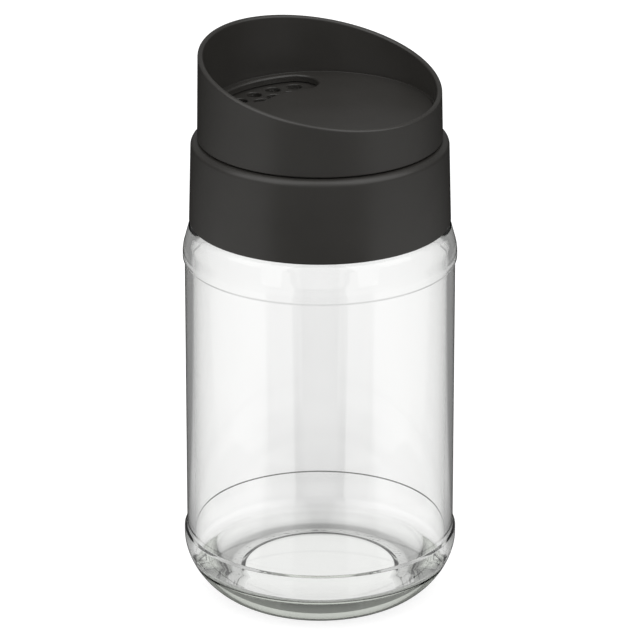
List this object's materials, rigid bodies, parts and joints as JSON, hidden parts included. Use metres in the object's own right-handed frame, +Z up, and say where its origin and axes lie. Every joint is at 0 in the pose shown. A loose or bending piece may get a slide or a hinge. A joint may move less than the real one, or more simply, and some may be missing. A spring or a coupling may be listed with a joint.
{
  "type": "spice jar",
  "caption": "Clear round glass jar with a screw-on charcoal lid, whose slanted dial turns over sieve holes, a blank place and a pour opening.",
  "frame": {"origin": "centre of the jar's base, on the surface that it stands on", "axes": "+Z up along the jar's axis; +X to the right and +Y away from the viewer as pictured, with the dial's high rim at the back left"},
  "size_m": [0.0722, 0.0722, 0.1517],
  "materials": {
    "clear_glass": "polished",
    "seal_plastic": "satin",
    "charcoal_plastic": "matte"
  },
  "bodies": {
    "jar": {"glass_jar": "clear_glass"},
    "liner": {"seal_ring": "seal_plastic"},
    "lid": {"lid_collar": "charcoal_plastic"},
    "top": {"dial": "charcoal_plastic"}
  },
  "joints": [
    {"name": "lid_lift", "type": "slide", "parent": "jar", "child": "liner", "axis": [0, 0, 1], "range_m": [0, 0.024]},
    {"name": "lid_turn", "type": "hinge", "parent": "liner", "child": "lid", "pos_m": [0, 0, 0.115], "axis": [0, 0, 1], "range_deg": [0, 540]},
    {"name": "dial_turn", "type": "hinge", "parent": "lid", "child": "top", "pos_m": [0, 0, 0.134], "axis": [0, 0, 1], "range_deg": [-120, 120]}
  ],
  "couplings": [
    {"joint": "lid_turn", "follows": "lid_lift", "rad_per_m": 392.7}
  ]
}
